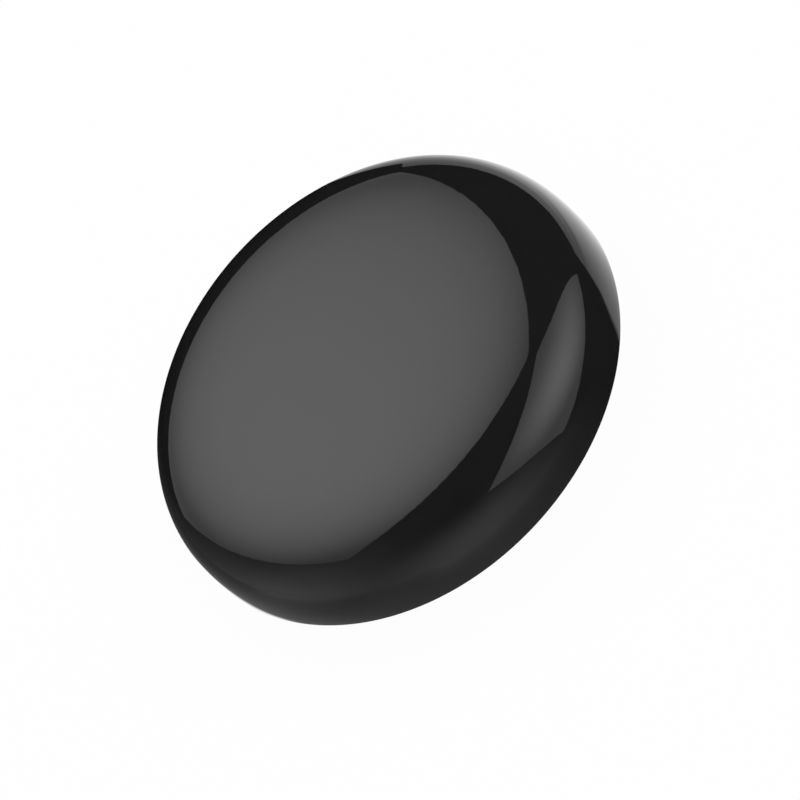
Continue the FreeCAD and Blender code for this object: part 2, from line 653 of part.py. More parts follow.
# The status light
def light_pipe_back():
    corner_x = abs(LIGHT_X) + LIGHT_PIPE_FLANGE_RADIUS
    wall = inner_wall_y(corner_x, LIGHT_AXIS_Z + LIGHT_PIPE_FLANGE_RADIUS)
    return wall - LIGHT_PIPE_GAP - LIGHT_PIPE_FLANGE_THICKNESS


def light_pipe():
    """A clear rod whose face is flush with the cover's curve."""
    start = (LIGHT_X, light_pipe_back(), LIGHT_AXIS_Z)
    rod = cylinder(LIGHT_PIPE_RADIUS, FAR, start, BACK).common(dome_solid(OUTER_RADIUS, TOP_Z))
    flange = cylinder(LIGHT_PIPE_FLANGE_RADIUS, LIGHT_PIPE_FLANGE_THICKNESS, start, BACK)
    return rod.fuse(flange).removeSplitter()


def status_led():
    """A side looking light whose window faces the pipe."""
    front = light_pipe_back() - LIGHT_PIPE_GAP
    body = block(STATUS_LED_SIZE, LIGHT_X, front - STATUS_LED_SIZE[1] / 2, BOARD_TOP)
    window_y = front - STATUS_LED_WINDOW[1] / 2
    return body.cut(block(STATUS_LED_WINDOW, LIGHT_X, window_y, LIGHT_AXIS_Z - STATUS_LED_WINDOW[2] / 2))


# The infrared emitters and the receiver
def ir_emitters():
    start = (EMITTER_BACK, 0, EMITTER_AXIS_Z)
    flange = cylinder(EMITTER_RADIUS + EMITTER_FLANGE, EMITTER_FLANGE_THICKNESS, start, RIGHT)
    straight = EMITTER_LENGTH - EMITTER_RADIUS
    barrel = cylinder(EMITTER_RADIUS, straight, start, RIGHT)
    lens = Part.makeSphere(EMITTER_RADIUS, Vector(EMITTER_BACK + straight, 0, EMITTER_AXIS_Z))
    one = flange.fuse([barrel, lens]).removeSplitter()
    return group([at_angle(one, a) for a in EMITTER_ANGLES])


def emitter_lead():
    """A round wire from the emitter's back, bent down through the board."""
    corner = LEAD_BEND_RADIUS * (1 - math.sqrt(0.5))
    start = Vector(EMITTER_BACK, 0, EMITTER_AXIS_Z)
    run_end = Vector(LEAD_DROP + LEAD_BEND_RADIUS, 0, EMITTER_AXIS_Z)
    middle = Vector(LEAD_DROP + corner, 0, EMITTER_AXIS_Z - corner)
    fall = Vector(LEAD_DROP, 0, EMITTER_AXIS_Z - LEAD_BEND_RADIUS)
    tip = Vector(LEAD_DROP, 0, BOARD_BOTTOM - LEAD_BELOW_BOARD)
    path = Part.Wire([
        Part.LineSegment(start, run_end).toShape(),
        Part.Arc(run_end, middle, fall).toShape(),
        Part.LineSegment(fall, tip).toShape(),
    ])
    section = Part.Wire(Part.makeCircle(LEAD_RADIUS, start, RIGHT))
    return path.makePipeShell([section], True, False)


def ir_emitter_leads():
    made = []
    for angle in EMITTER_ANGLES:
        for side in (-1, 1):
            one = emitter_lead()
            one.translate(Vector(0, side * LEAD_PITCH / 2, 0))
            made.append(at_angle(one, angle))
    return group(made)


def ir_receiver():
    bottom = BOARD_TOP + RECEIVER_STANDOFF
    body = block(RECEIVER_SIZE, RECEIVER_CIRCLE, 0, bottom)
    front = RECEIVER_CIRCLE + RECEIVER_SIZE[0] / 2
    centre_z = bottom + RECEIVER_SIZE[2] / 2
    lens = Part.makeSphere(RECEIVER_LENS_RADIUS, Vector(front, 0, centre_z))
    return at_angle(body.fuse(lens).removeSplitter(), RECEIVER_ANGLE)


def ir_receiver_leads():
    length = RECEIVER_STANDOFF + BOARD_THICKNESS + LEAD_BELOW_BOARD
    made = []
    for step in (-1, 0, 1):
        start = (RECEIVER_CIRCLE, step * RECEIVER_LEAD_PITCH, BOARD_BOTTOM - LEAD_BELOW_BOARD)
        made.append(at_angle(cylinder(LEAD_RADIUS, length, start), RECEIVER_ANGLE))
    return group(made)


# The radio module
def wifi_board():
    return block((MODULE_WIDTH, MODULE_LENGTH, MODULE_THICKNESS), 0, MODULE_Y, BOARD_TOP)


def wifi_shield():
    floor = BOARD_TOP + MODULE_THICKNESS
    length = SHIELD_REAR_Y - SHIELD_FRONT_Y
    outer = block((SHIELD_WIDTH, length, SHIELD_HEIGHT), 0, SHIELD_Y, floor)
    outer = outer.makeFillet(SHIELD_ROUND, edges_along(outer, UP))
    inside = (SHIELD_WIDTH - 2 * SHIELD_SHEET, length - 2 * SHIELD_SHEET, SHIELD_HEIGHT - SHIELD_SHEET)
    return outer.cut(block(inside, 0, SHIELD_Y, floor))


def wifi_chip():
    return block(CHIP_SIZE, 0, SHIELD_Y, BOARD_TOP + MODULE_THICKNESS)


def wifi_crystal():
    away = (CHIP_SIZE[1] + CRYSTAL_SIZE[1]) / 2 + CRYSTAL_GAP
    return block(CRYSTAL_SIZE, 0, SHIELD_Y - away, BOARD_TOP + MODULE_THICKNESS)


def wifi_antenna():
    """The zigzag copper track at the module's free end."""
    end = MODULE_FRONT_Y + ANTENNA_END_GAP
    floor = BOARD_TOP + MODULE_THICKNESS
    start = -ANTENNA_TURNS * ANTENNA_PITCH
    leg = (ANTENNA_TRACK, ANTENNA_DEPTH, ANTENNA_THICKNESS)
    runs = []
    for index in range(2 * ANTENNA_TURNS + 1):
        x = start + index * ANTENNA_PITCH
        runs.append(block(leg, x, end + ANTENNA_DEPTH / 2, floor))
        if index < 2 * ANTENNA_TURNS:
            y = end + (ANTENNA_TRACK / 2 if index % 2 else ANTENNA_DEPTH - ANTENNA_TRACK / 2)
            link = (ANTENNA_PITCH + ANTENNA_TRACK, ANTENNA_TRACK, ANTENNA_THICKNESS)
            runs.append(block(link, x + ANTENNA_PITCH / 2, y, floor))
    return runs[0].fuse(runs[1:]).removeSplitter()


def wifi_pads():
    """Solder fillets along the module's two long sides."""
    made = []
    for side in (-1, 1):
        edge = side * MODULE_WIDTH / 2
        for index in range(PAD_COUNT):
            y = MODULE_REAR_Y - PAD_FIRST - PAD_PITCH * index
            corners = [
                Vector(edge, y - PAD_WIDTH / 2, BOARD_TOP),
                Vector(edge + side * PAD_REACH, y - PAD_WIDTH / 2, BOARD_TOP),
                Vector(edge, y - PAD_WIDTH / 2, BOARD_TOP + MODULE_THICKNESS),
            ]
            made.append(Part.Face(Part.makePolygon(corners + corners[:1])).extrude(Vector(0, PAD_WIDTH, 0)))
    return group(made)


# The power parts and the small parts on the board
def voltage_regulator():
    return block(REGULATOR_SIZE, REGULATOR_X, REGULATOR_Y, BOARD_TOP)


def regulator_leads():
    away = (REGULATOR_SIZE[1] + REGULATOR_LEAD_REACH) / 2
    lead = (REGULATOR_LEAD_WIDTH, REGULATOR_LEAD_REACH, SMALL_LEAD_THICKNESS)
    tab = (REGULATOR_TAB_WIDTH, REGULATOR_LEAD_REACH, SMALL_LEAD_THICKNESS)
    made = [block(tab, REGULATOR_X, REGULATOR_Y + away, BOARD_TOP)]
    for step in (-1, 0, 1):
        x = REGULATOR_X + step * REGULATOR_LEAD_PITCH
        made.append(block(lead, x, REGULATOR_Y - away, BOARD_TOP))
    return group(made)


def capacitor_base():
    side = 2 * (CAN_RADIUS + CAN_BASE_MARGIN)
    base = block((side, side, CAN_BASE_HEIGHT), CAN_X, CAN_Y, BOARD_TOP)
    left = [e for e in edges_along(base, UP) if e.BoundBox.XMax < CAN_X]
    return base.makeChamfer(CAN_BASE_CHAMFER, left)


def capacitor_can():
    bottom = BOARD_TOP + CAN_BASE_HEIGHT
    body = cylinder(CAN_RADIUS, CAN_HEIGHT, (CAN_X, CAN_Y, bottom))
    body = body.makeFillet(CAN_ROUND, circles_at(body, bottom + CAN_HEIGHT))
    groove_centre = Vector(CAN_X, CAN_Y, bottom + CAN_GROOVE_HEIGHT)
    return body.cut(Part.makeTorus(CAN_RADIUS + CAN_GROOVE_DEPTH, 2 * CAN_GROOVE_DEPTH, groove_centre))


def driver_transistors():
    places = [MODULE_Y + step for step in TRANSISTOR_STEPS]
    return group([block(TRANSISTOR_SIZE, TRANSISTOR_X, y, BOARD_TOP) for y in places])


def transistor_leads():
    size = (TRANSISTOR_LEAD_REACH, TRANSISTOR_LEAD_WIDTH, SMALL_LEAD_THICKNESS)
    away = (TRANSISTOR_SIZE[0] + TRANSISTOR_LEAD_REACH) / 2
    made = []
    for step in TRANSISTOR_STEPS:
        y = MODULE_Y + step
        made.append(block(size, TRANSISTOR_X + away, y, BOARD_TOP))
        for side in (-1, 1):
            made.append(block(size, TRANSISTOR_X - away, y + side * TRANSISTOR_LEAD_PITCH, BOARD_TOP))
    return group(made)


def ceramic_capacitors():
    """A row beside the module, and one each behind the regulator and the can."""
    row_x = MODULE_WIDTH / 2 + CERAMIC_GAP
    places = [(row_x, MODULE_Y + step) for step in CERAMIC_STEPS]
    places += [(x, LEAD_DROP + CERAMIC_ADVANCE) for x in (REGULATOR_X, CAN_X)]
    return group([block(CERAMIC_SIZE, x, y, BOARD_TOP) for x, y in places])


def resistors():
    """One resistor beside each emitter."""
    one = block(RESISTOR_SIZE, EMITTER_BACK + RESISTOR_ADVANCE, RESISTOR_OFFSET, BOARD_TOP)
    return group([at_angle(one, a) for a in EMITTER_ANGLES])


def protection_diode():
    return block(DIODE_SIZE, DIODE_X, DIODE_Y, BOARD_TOP)


def diode_leads():
    size = (DIODE_LEAD_REACH, DIODE_LEAD_WIDTH, SMALL_LEAD_THICKNESS)
    away = (DIODE_SIZE[0] + DIODE_LEAD_REACH) / 2
    return group([block(size, DIODE_X + side * away, DIODE_Y, BOARD_TOP) for side in (-1, 1)])


NODES = (
    top_cover,
    base_cover,
    foot_ring,
    blank_label,
    case_screws,
    board_screws,
    main_board,
    usb_shell,
    usb_tongue,
    usb_contacts,
    reset_button_cap,
    switch_plunger,
    switch_body,
    switch_plate,
    snap_dome,
    switch_terminals,
    light_pipe,
    status_led,
    ir_emitters,
    ir_emitter_leads,
    ir_receiver,
    ir_receiver_leads,
    wifi_board,
    wifi_shield,
    wifi_chip,
    wifi_crystal,
    wifi_antenna,
    wifi_pads,
    voltage_regulator,
    regulator_leads,
    capacitor_can,
    capacitor_base,
    driver_transistors,
    transistor_leads,
    ceramic_capacitors,
    resistors,
    protection_diode,
    diode_leads,
)


def main():
    os.makedirs("parts", exist_ok=True)
    for make in NODES:
        shape = make()
        solids = shape.Solids
        if not solids or not all(s.isValid() and s.Volume > 0 for s in solids):
            raise RuntimeError(f"{make.__name__} isn't made of valid solids")
        shape.exportStep(os.path.join("parts", make.__name__ + ".step"))
        print(f"{make.__name__}: {len(solids)} solid(s), {shape.Volume:.2f} mm3")


main()
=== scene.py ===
import bisect
import math

import bpy
from mathutils import Matrix, Vector


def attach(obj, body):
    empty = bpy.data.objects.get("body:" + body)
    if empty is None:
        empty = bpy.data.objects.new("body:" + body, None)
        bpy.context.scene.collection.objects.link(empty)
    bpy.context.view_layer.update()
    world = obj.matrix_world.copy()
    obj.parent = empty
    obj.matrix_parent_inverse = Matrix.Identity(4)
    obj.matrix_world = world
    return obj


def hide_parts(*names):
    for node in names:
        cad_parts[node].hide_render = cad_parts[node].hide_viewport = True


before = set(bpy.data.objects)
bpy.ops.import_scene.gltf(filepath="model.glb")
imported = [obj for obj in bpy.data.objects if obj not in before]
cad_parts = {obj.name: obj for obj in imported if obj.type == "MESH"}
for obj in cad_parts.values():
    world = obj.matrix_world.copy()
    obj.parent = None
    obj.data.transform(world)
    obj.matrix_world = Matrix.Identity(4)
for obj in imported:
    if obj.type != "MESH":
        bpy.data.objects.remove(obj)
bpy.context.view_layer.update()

# The cover's sizes, as in the CAD, in metres like all lengths here
OUTER_RADIUS = 0.0340
INNER_RADIUS = 0.0322
TOP_Z = 0.0163
CEILING_Z = 0.0145
WIDEST_Z = 0.0054
COVER_EDGE = 0.0047
CROWN_INSET = 0.00085
SHOULDER_INSET = 0.00104
SHOULDER_DROP = 0.00216
SIDE_HANDLE = 0.00182
RIM_ROUND = 0.00025

# Its openings and bosses, also as in the CAD. A round hole is its x, its height and its radius
PORT_SIZE = (0.0084, 0.0035)
PORT_CORNER = 0.0011
PORT_Z = 0.0076
PORT_START_Y = 0.028
BUTTON_HOLE = (-0.0100, 0.0082, 0.00175)
LIGHT_HOLE = (0.0100, 0.0076, 0.00105)
HOLE_START_Y = 0.0265
BEYOND_WALL_Y = 0.040
BOSS_CIRCLE = 0.0220
BOSS_ANGLES = (22.5, 157.5, 292.5)
BOSS_RADIUS = 0.0024
BOSS_BOTTOM = 0.0051
BOSS_TOP = 0.0142
PILOT_RADIUS = 0.0010
PILOT_OVERRUN = 0.001
PILOT_TOP = 0.0111

# How finely the cover is made
STEPS_AROUND = 240
DOME_STEPS = 150
CEILING_STEPS = 40
RIM_STEPS = 6
HOLE_STEPS = 48
CORNER_STEPS = 12
NORMAL_STEPS = 600
SHARP_ANGLE = math.radians(35)
DOME_TOLERANCE = 0.0004
DOME_LIKENESS = 0.9

# The camera: it looks down on the cover, turned on its side as in the photograph
IMAGE_SIZE = 800
CENTRE_PIXEL = (385.95, 386.85)
CAMERA_TARGET = Vector((0, 0, WIDEST_Z))
CAMERA_TILT = math.radians(43.42)
CAMERA_ROLL = math.radians(47.02)
CAMERA_DISTANCE = 0.34
CAMERA_LENS = 115.9
SENSOR_WIDTH = 36.0
CLIP_START = 0.01

# The white world and floor. FLOOR_WHITE is the share of plain white, over the paper, by the distance
WORLD_LIGHT = 0.45
FLOOR_REACH = 6.0
FLOOR_PAPER = (0.92, 0.92, 0.92)
FLOOR_WHITE = (0.05, 0.6, 0.97, 1.0)

# The softboxes: corners in order round the panel, the brightest place, the strengths there and at the reach
MAIN_SOFTBOX = {
    "corners": (
        (0.361, 0.993, 0.291),
        (0.327, 0.259, 0.956),
        (-0.624, 0.029, 0.916),
        (-0.717, 0.832, 0.153),
    ),
    "middle": (-0.101, 0.464, 0.655),
    "peak": 2.25,
    "edge": 0.50,
    "reach": 0.67,
}
SIDE_SOFTBOX = {
    "corners": (
        (0.970, 0.089, 0.299),
        (0.664, -1.005, -0.134),
        (-0.041, -0.717, 0.869),
        (0.409, 0.191, 1.008),
    ),
    "middle": (0.520, -0.280, 0.552),
    "peak": 2.25,
    "edge": 0.77,
    "reach": 0.62,
}
LIGHT_HIDDEN_FROM = ("camera", "transmission", "volume_scatter")
REFLECTION_HIDDEN_FROM = ("camera", "diffuse", "transmission", "volume_scatter", "shadow")

# A ramp, such as FLOOR_WHITE, is (from, to, value before, value after), or only (from, to). A window is
# the (from, to) of a rise and of a fall. Azimuths are in degrees: 0 is in front, 90 right and -90 left

# Painted reflections: a dark dome all round, seen only in reflections, with a dim glow painted low on it in
# front
SURROUND_RADIUS = 1.6
SURROUND_STEPS = 16
SURROUND_STEPS_AROUND = 32
GLOW_WINDOW = ((-152, -98), (0, 42))
GLOW_LEVEL = 0.41
GLOW_SPOTS = ((-90, 0.26), (-18, 0.24))
GLOW_SPOT_FADE = (2, 36)
GLOW_TOP = (-90, -20, 84, 66)

# Painted reflections on the floor: the same glow on a dark sheet seen only in reflections, with painted shade
# that dims it near the object. The near level and the near end are a value and soft changes to it by azimuth,
# each (from, to, change)
REFLECTION_SHEET_HEIGHT = 0.0001
FLOOR_GLOW_DIMMED = (-95, -70, 0.86, 1.0)
NEAR_PAINTED_SHADE_LEVEL = (0.33, (-105, -50, 0.37), (-50, -20, -0.25))
NEAR_PAINTED_SHADE_START = (-110, -80, 0.050, 0.037)
NEAR_PAINTED_SHADE_END = (0.20, (-105, -85, -0.105), (-66, -52, 0.035), (-40, -24, -0.064))

# Painted reflections on the floor sheet: part of a glowing ring round the object's left side,
# and a brighter glowing strip inside it
RING_WINDOW = ((-125, -100), (-55, -38))
RING_FADE = (0.034, 0.043, 0.11, 0.0)
RING_GAP_AZIMUTH = -77
RING_GAP = (4, 18, 0.1, 1.0)
STRIP_WINDOW = ((-110, -100), (-73, -64))
STRIP_EDGE = (-110, -66, 0.0384, 0.0358)
STRIP_FADE = (-0.0006, 0.0006, 1.2, 0.0)

# A painted reflection: a glowing patch on the floor at the right, beyond a line of that slope
REFLECTION_PATCH_SLOPE = 0.172
REFLECTION_PATCH_BORDER = (0.028, 0.048, -0.0281, -0.0259)
REFLECTION_PATCH_BORDER_FADE = (-0.0006, 0.0009)
REFLECTION_PATCH_FADE = (117, 160, 1.0, 0.31)
REFLECTION_PATCH_END = (158, 160, 1.0, 0.0)
REFLECTION_PATCH_LIGHT = 2.25
REFLECTION_PATCH_NEAR = (-0.030, 0.010, 0.33, 1.03)
REFLECTION_PATCH_FAR = (96, 135, 0.31, 0.86)
REFLECTION_PATCH_NEAR_TO_FAR = (0.045, 0.13)

# A painted reflection: a glowing sheet standing at the right behind the object, its painted light rising and
# falling by azimuth and dimmer towards its top. Its outline is (along, up)
STANDING_REFLECTION_GLOW = ((-0.331, 0), (0.269, 0), (0.269, 0.094), (0.12, 0.098), (-0.19, 0.100), (-0.27, 0.086))
STANDING_AZIMUTH = math.radians(130)
STANDING_DISTANCE = 0.5
STANDING_RISE = (96, 127, 0.72, 1.08)
STANDING_FALL = (125, 165, 1.0, 0.45)
STANDING_TOP = (0.0, 0.1, 1.0, 0.85)

# A painted reflection: a glowing sheet on the floor in front of the side softbox
SIDE_REFLECTION_GLOW = ((0.052, -0.095), (0.067, -0.104), (0.095, -0.120), (0.114, -0.131), (0.149, -0.158),
             (0.207, -0.203), (0.83, -0.54), (0.565, -0.98))
SIDE_REFLECTION_GLOW_HEIGHT = 0.0002
SIDE_REFLECTION_GLOW_LIGHT = 0.72


# Node trees
class Graph:
    """Adds nodes to a tree and joins them. A value that is a socket is linked, any other is set."""

    def __init__(self, tree):
        self.tree = tree
        tree.nodes.clear()

    def add(self, kind, settings=None, **inputs):
        node = self.tree.nodes.new(kind)
        for name, value in (settings or {}).items():
            setattr(node, name, value)
        for name, value in inputs.items():
            self.put(node.inputs[self.socket_name(node, name)], value)
        return node

    def socket_name(self, node, name):
        """The key of an input: in_0 is the first one, and base_color is Base Color."""
        if name.startswith("in_"):
            return int(name[3:])
        wanted = name.replace("_", " ").lower()
        return next(s.name for s in node.inputs if s.name.lower() == wanted)

    def put(self, socket, value):
        if isinstance(value, bpy.types.NodeSocket):
            self.tree.links.new(value, socket)
        elif isinstance(value, (tuple, list)) and socket.type == "RGBA" and len(value) == 3:
            socket.default_value = (*value, 1.0)
        else:
            socket.default_value = value

    def math(self, operation, *values):
        node = self.add("ShaderNodeMath", {"operation": operation})
        for socket, value in zip(node.inputs, values):
            self.put(socket, value)
        return node.outputs[0]

    def product(self, first, *others):
        for value in others:
            first = self.math("MULTIPLY", first, value)
        return first

    def smooth(self, value, low, high, start=0.0, end=1.0):
        """start below low, end above high, and a soft ramp between."""
        node = self.add("ShaderNodeMapRange", {"interpolation_type": "SMOOTHSTEP"})
        for socket, given in zip(node.inputs, (value, low, high, start, end)):
            self.put(socket, given)
        return node.outputs[0]

    def ramps(self, value, level, *changes):
        """A level, with a soft change to it for each (from, to, change)."""
        for low, high, change in changes:
            level = self.math("ADD", level, self.smooth(value, low, high, 0.0, change))
        return level

    def window(self, value, rise, fall):
        """1 between a soft rise and a soft fall, and 0 outside them."""
        return self.product(self.smooth(value, *rise), self.smooth(value, *fall, 1.0, 0.0))

    def position(self):
        return self.add("ShaderNodeNewGeometry").outputs["Position"]

    def axes(self):
        return self.add("ShaderNodeSeparateXYZ", in_0=self.position()).outputs

    def distance(self, point):
        node = self.add("ShaderNodeVectorMath", {"operation": "DISTANCE"}, in_0=self.position(), in_1=point)
        return node.outputs["Value"]

    def azimuth(self):
        axes = self.axes()
        turn = self.math("ARCTAN2", axes["X"], self.math("MULTIPLY", axes["Y"], -1.0))
        return self.math("MULTIPLY", turn, math.degrees(1))

    def seen_directly(self):
        """1 for what the camera, a mirror or a clear piece shows, and 0 for light that falls on a piece."""
        path = self.add("ShaderNodeLightPath").outputs
        seen = self.math("MAXIMUM", path["Is Camera Ray"], path["Is Glossy Ray"])
        return self.math("MAXIMUM", seen, path["Is Transmission Ray"])


def new_material(name):
    material = bpy.data.materials.new(name)
    material.use_nodes = True
    return material, Graph(material.node_tree)


# Mesh forms
def mesh_object(name, corners, faces):
    mesh = bpy.data.meshes.new(name)
    mesh.from_pydata(corners, [], faces)
    made = bpy.data.objects.new(name, mesh)
    bpy.context.scene.collection.objects.link(made)
    return made


def square_corners(reach, height):
    return [(x * reach, y * reach, height) for x, y in ((-1, -1), (1, -1), (1, 1), (-1, 1))]


def turned_shape(outline, around):
    """Corners and faces of (radius, height) points turned about Z. A point on the axis is a single corner."""
    angles = [math.radians(360 * step / around) for step in range(around)]
    corners, rings, faces = [], [], []
    for radius, height in outline:
        first = len(corners)
        if radius < 1e-9:
            corners.append((0, 0, height))
            rings.append([first] * around)
        else:
            corners += [(radius * math.cos(a), radius * math.sin(a), height) for a in angles]
            rings.append(list(range(first, first + around)))
    for above, below in zip(rings, rings[1:]):
        for step in range(around):
            after = (step + 1) % around
            face = (above[step], below[step], below[after], above[after])
            faces.append(tuple(dict.fromkeys(face)))
    return corners, faces


def prism_shape(section, start, end):
    """Corners and faces of a closed section carried straight from one corner to another."""
    count = len(section)
    corners = [tuple(Vector(start) + p) for p in section] + [tuple(Vector(end) + p) for p in section]
    sides = [(i, (i + 1) % count, count + (i + 1) % count, count + i) for i in range(count)]
    return corners, sides + [tuple(reversed(range(count))), tuple(range(count, 2 * count))]


def round_section(radius, right, up):
    angles = [math.radians(360 * step / HOLE_STEPS) for step in range(HOLE_STEPS)]
    return [right * radius * math.cos(a) + up * radius * math.sin(a) for a in angles]


def slot_section(width, height, corner, right, up):
    """A rectangle with rounded corners, counted from its lower right one."""
    points = []
    for turn, (side, level) in enumerate(((1, -1), (1, 1), (-1, 1), (-1, -1))):
        for step in range(CORNER_STEPS + 1):
            a = math.radians(90 * (turn - 1) + 90 * step / CORNER_STEPS)
            across = side * (width / 2 - corner) + corner * math.cos(a)
            along = level * (height / 2 - corner) + corner * math.sin(a)
            points.append(right * across + up * along)
    return points


def several(shapes):
    """Corners and faces of separate shapes as one mesh."""
    corners, faces = [], []
    for more_corners, more_faces in shapes:
        first = len(corners)
        corners += more_corners
        faces += [tuple(first + i for i in face) for face in more_faces]
    return corners, faces


def combine(piece, operation, shapes):
    """Joins shapes to a piece, or cuts them out of it."""
    tool = mesh_object("tool", *several(shapes))
    change = piece.modifiers.new(operation, "BOOLEAN")
    change.operation = operation
    change.solver = "EXACT"
    change.object = tool
    bpy.context.view_layer.update()
    mesh = bpy.data.meshes.new_from_object(piece.evaluated_get(bpy.context.evaluated_depsgraph_get()))
    piece.modifiers.clear()
    piece.data = mesh
    bpy.data.objects.remove(tool)


# The cover
def dome_curve(radius, top, steps):
    """Points and outward slopes down the dome, on one curve from its crown to its widest circle."""
    poles = [Vector(p) for p in ((0, top), (radius - CROWN_INSET, top),
                                 (radius - SHOULDER_INSET, top - SHOULDER_DROP),
                                 (radius, WIDEST_Z + SIDE_HANDLE), (radius, WIDEST_Z))]
    points, slopes = [], []
    for step in range(steps + 1):
        part = poles
        while len(part) > 2:
            part = [a.lerp(b, step / steps) for a, b in zip(part, part[1:])]
        along = (part[1] - part[0]).normalized()
        points.append(part[0].lerp(part[1], step / steps))
        slopes.append(Vector((-along.y, along.x)))
    return points, slopes


def cover_outline():
    """The cover's closed half section: over the outside, round the rim, and back up inside to the axis."""
    outside, _ = dome_curve(OUTER_RADIUS, TOP_Z, DOME_STEPS)
    inside, _ = dome_curve(INNER_RADIUS, CEILING_Z, CEILING_STEPS)
    rim = []
    for step in range(RIM_STEPS + 1):
        a = math.radians(90 * step / RIM_STEPS)
        rim.append((OUTER_RADIUS - RIM_ROUND + RIM_ROUND * math.cos(a),
                    COVER_EDGE + RIM_ROUND - RIM_ROUND * math.sin(a)))
    rim.append((INNER_RADIUS, COVER_EDGE))
    return [tuple(p) for p in outside] + rim + [tuple(p) for p in reversed(inside)]


def boss_places():
    angles = [math.radians(degrees) for degrees in BOSS_ANGLES]
    return [(BOSS_CIRCLE * math.cos(a), BOSS_CIRCLE * math.sin(a)) for a in angles]


def cover_bosses():
    section = round_section(BOSS_RADIUS, Vector((1, 0, 0)), Vector((0, 1, 0)))
    return [prism_shape(section, (x, y, BOSS_BOTTOM), (x, y, BOSS_TOP)) for x, y in boss_places()]


def cover_holes():
    """The port and two round holes through the back wall, and the screws' pilot holes in the bosses."""
    right, left = Vector((1, 0, 0)), Vector((-1, 0, 0))
    up, back = Vector((0, 0, 1)), Vector((0, 1, 0))
    port = slot_section(*PORT_SIZE, PORT_CORNER, left, up)
    holes = [prism_shape(port, (0, PORT_START_Y, PORT_Z), (0, BEYOND_WALL_Y, PORT_Z))]
    for x, z, radius in (BUTTON_HOLE, LIGHT_HOLE):
        section = round_section(radius, left, up)
        holes.append(prism_shape(section, (x, HOLE_START_Y, z), (x, BEYOND_WALL_Y, z)))
    for x, y in boss_places():
        section = round_section(PILOT_RADIUS, right, back)
        holes.append(prism_shape(section, (x, y, BOSS_BOTTOM - PILOT_OVERRUN), (x, y, PILOT_TOP)))
    return holes


def set_dome_normals(mesh):
    """Gives the outside of the dome its true normals, so that reflections run smoothly over it."""
    points, slopes = dome_curve(OUTER_RADIUS, TOP_Z, NORMAL_STEPS)
    # radius minus height grows all the way down the curve, so it tells each place on it
    keys = [p.x - p.y for p in points]
    normals = [Vector((0, 0, 0))] * len(mesh.loops)
    for face in mesh.polygons:
        middle = face.center
        if face.normal.dot(dome_normal(middle, keys, slopes)) < DOME_LIKENESS:
            continue
        if middle.z < WIDEST_Z - DOME_TOLERANCE or not on_dome(middle, keys, points):
            continue
        for loop in face.loop_indices:
            normals[loop] = dome_normal(mesh.vertices[mesh.loops[loop].vertex_index].co, keys, slopes)
    mesh.normals_split_custom_set(normals)


def dome_row(place, keys):
    radius = math.hypot(place.x, place.y)
    return min(bisect.bisect_left(keys, radius - place.z), len(keys) - 1)


def dome_normal(place, keys, slopes):
    slope = slopes[dome_row(place, keys)]
    radius = max(math.hypot(place.x, place.y), 1e-9)
    return Vector((slope.x * place.x / radius, slope.x * place.y / radius, slope.y)).normalized()


def on_dome(place, keys, points):
    near = points[dome_row(place, keys)]
    return math.hypot(math.hypot(place.x, place.y) - near.x, place.z - near.y) < DOME_TOLERANCE


def add_cover(material):
    cover = mesh_object("cover", *turned_shape(cover_outline(), STEPS_AROUND))
    combine(cover, "UNION", cover_bosses())
    combine(cover, "DIFFERENCE", cover_holes())
    cover.data.shade_smooth()
    cover.data.set_sharp_from_angle(angle=SHARP_ANGLE)
    set_dome_normals(cover.data)
    cover.data.materials.clear()
    cover.data.materials.append(material)
    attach(cover, "case")
    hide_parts("top_cover")


# The stage
def add_camera():
    towards = Vector((0, -math.sin(CAMERA_TILT), math.cos(CAMERA_TILT)))
    up = Vector((0, math.cos(CAMERA_TILT), math.sin(CAMERA_TILT)))
    right = Vector((1, 0, 0))
    across = right * math.cos(CAMERA_ROLL) - up * math.sin(CAMERA_ROLL)
    upward = right * math.sin(CAMERA_ROLL) + up * math.cos(CAMERA_ROLL)
    data = bpy.data.cameras.new("camera")
    data.lens = CAMERA_LENS
    data.sensor_width = SENSOR_WIDTH
    data.shift_x = 0.5 - CENTRE_PIXEL[0] / IMAGE_SIZE
    data.shift_y = CENTRE_PIXEL[1] / IMAGE_SIZE - 0.5
    data.clip_start = CLIP_START
    camera = bpy.data.objects.new("camera", data)
    turn = Matrix((across, upward, towards)).transposed()
    camera.matrix_world = Matrix.Translation(CAMERA_TARGET + towards * CAMERA_DISTANCE) @ turn.to_4x4()
    bpy.context.scene.collection.objects.link(camera)
    bpy.context.scene.camera = camera


def add_world():
    """White where it is seen, and dimmer as a light."""
    world = bpy.data.worlds.new("studio")
    bpy.context.scene.world = world
    world.use_nodes = True
    graph = Graph(world.node_tree)
    strength = graph.add("ShaderNodeMapRange", in_0=graph.seen_directly(), to_min=WORLD_LIGHT, to_max=1.0)
    background = graph.add("ShaderNodeBackground", color=(1, 1, 1), strength=strength.outputs[0])
    graph.add("ShaderNodeOutputWorld", surface=background.outputs[0])


def add_floor():
    """White where it is seen, with a little of the paper under it, which takes the object's shadow."""
    floor = mesh_object("floor", square_corners(FLOOR_REACH, 0), [(0, 1, 2, 3)])
    material, graph = new_material("floor")
    far = graph.smooth(graph.distance((0, 0, 0)), *FLOOR_WHITE)
    paper = graph.add("ShaderNodeBsdfDiffuse", color=FLOOR_PAPER)
    white = graph.add("ShaderNodeEmission", color=(1, 1, 1), strength=1.0)
    mix = graph.add("ShaderNodeMixShader", in_0=graph.product(graph.seen_directly(), far),
                    in_1=paper.outputs[0], in_2=white.outputs[0])
    graph.add("ShaderNodeOutputMaterial", surface=mix.outputs[0])
    floor.data.materials.append(material)


